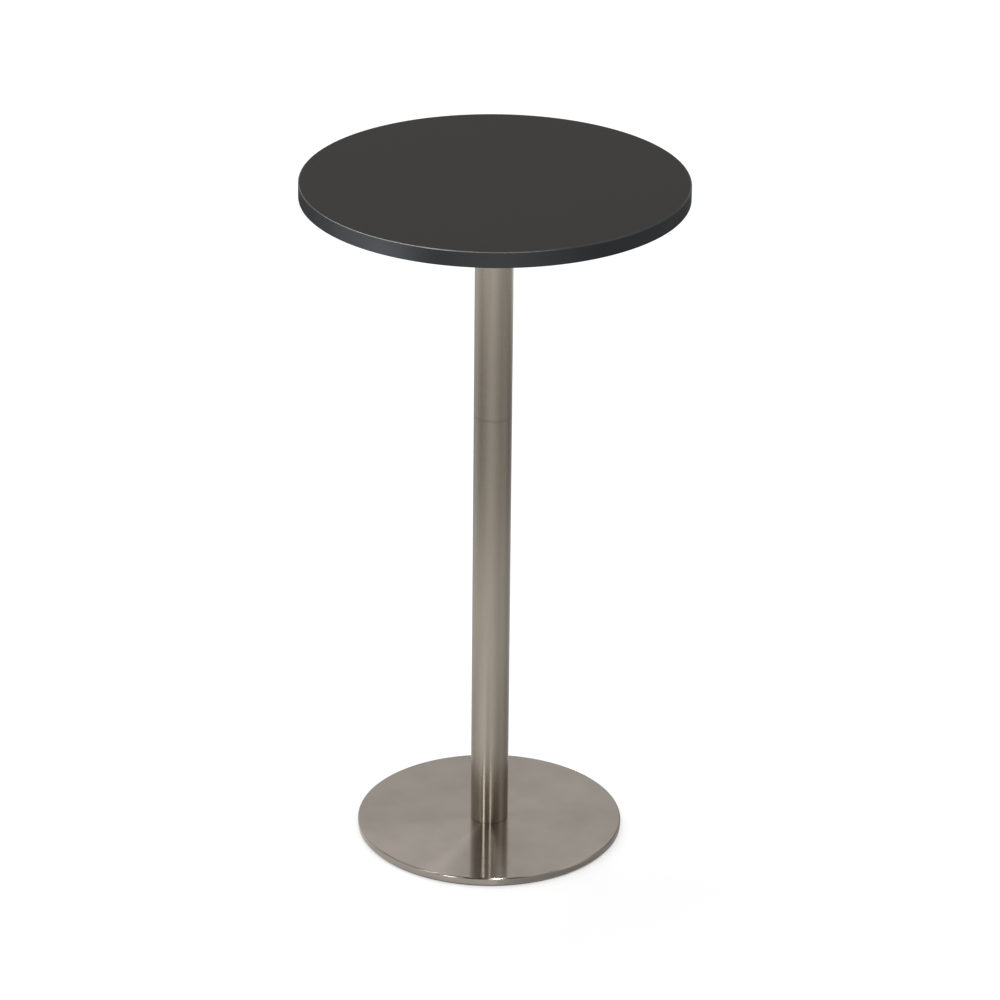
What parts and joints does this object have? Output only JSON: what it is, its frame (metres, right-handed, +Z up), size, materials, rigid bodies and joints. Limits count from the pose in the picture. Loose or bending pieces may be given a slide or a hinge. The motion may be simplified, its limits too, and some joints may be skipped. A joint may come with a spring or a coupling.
{
  "type": "pub table",
  "caption": "Bar-height pedestal table: round charcoal laminate top, satin stainless tube column and a weighted flat disc base on screw-in levelling feet.",
  "frame": {"origin": "on the floor, under the middle of the column", "axes": "+Z up along the column; +X and +Y square to it, midway between the feet"},
  "size_m": [0.6, 0.6, 1.11],
  "materials": {
    "charcoal_laminate": "matt",
    "charcoal_edging": "satin",
    "backing_laminate": "matt",
    "particle_board": "raw",
    "satin_stainless": "satin",
    "black_powder_coat": "powder coat",
    "black_primer": "matt primer",
    "zinc_plate": "zinc plated",
    "black_nylon": "moulded"
  },
  "bodies": {
    "table": {"top_face_laminate": "charcoal_laminate", "top_core_board": "particle_board", "top_backing_laminate": "backing_laminate", "top_edge_band": "charcoal_edging", "top_screws": "zinc_plate", "spider_bracket": "black_powder_coat", "spider_cup": "black_powder_coat", "column_tube": "satin_stainless", "tie_rod": "zinc_plate", "rod_top_nut": "zinc_plate", "rod_top_washer": "zinc_plate", "rod_base_nut": "zinc_plate", "rod_spring_washer": "zinc_plate", "rod_base_washer": "zinc_plate", "base_spigot": "zinc_plate", "base_cover": "satin_stainless", "base_ballast_plate": "black_primer"},
    "foot_1": {"foot_pad_1": "black_nylon"},
    "foot_screw_1": {"foot_stud_1": "zinc_plate"},
    "foot_2": {"foot_pad_2": "black_nylon"},
    "foot_screw_2": {"foot_stud_2": "zinc_plate"},
    "foot_3": {"foot_pad_3": "black_nylon"},
    "foot_screw_3": {"foot_stud_3": "zinc_plate"},
    "foot_4": {"foot_pad_4": "black_nylon"},
    "foot_screw_4": {"foot_stud_4": "zinc_plate"}
  },
  "joints": [
    {"name": "foot_1_height", "type": "slide", "parent": "table", "child": "foot_1", "axis": [0, 0, -1], "range_m": [0, 0.004]},
    {"name": "foot_1_turn", "type": "hinge", "parent": "foot_1", "child": "foot_screw_1", "pos_m": [0.12728, 0.12728, 0.008], "axis": [0, 0, -1], "range_deg": [0, 1153]},
    {"name": "foot_2_height", "type": "slide", "parent": "table", "child": "foot_2", "axis": [0, 0, -1], "range_m": [0, 0.004]},
    {"name": "foot_2_turn", "type": "hinge", "parent": "foot_2", "child": "foot_screw_2", "pos_m": [-0.12728, 0.12728, 0.008], "axis": [0, 0, -1], "range_deg": [0, 1153]},
    {"name": "foot_3_height", "type": "slide", "parent": "table", "child": "foot_3", "axis": [0, 0, -1], "range_m": [0, 0.004]},
    {"name": "foot_3_turn", "type": "hinge", "parent": "foot_3", "child": "foot_screw_3", "pos_m": [-0.12728, -0.12728, 0.008], "axis": [0, 0, -1], "range_deg": [0, 1153]},
    {"name": "foot_4_height", "type": "slide", "parent": "table", "child": "foot_4", "axis": [0, 0, -1], "range_m": [0, 0.004]},
    {"name": "foot_4_turn", "type": "hinge", "parent": "foot_4", "child": "foot_screw_4", "pos_m": [0.12728, -0.12728, 0.008], "axis": [0, 0, -1], "range_deg": [0, 1153]}
  ],
  "couplings": [
    {"joint": "foot_1_turn", "follows": "foot_1_height", "rad_per_m": 5026.5},
    {"joint": "foot_2_turn", "follows": "foot_2_height", "rad_per_m": 5026.5},
    {"joint": "foot_3_turn", "follows": "foot_3_height", "rad_per_m": 5026.5},
    {"joint": "foot_4_turn", "follows": "foot_4_height", "rad_per_m": 5026.5}
  ]
}
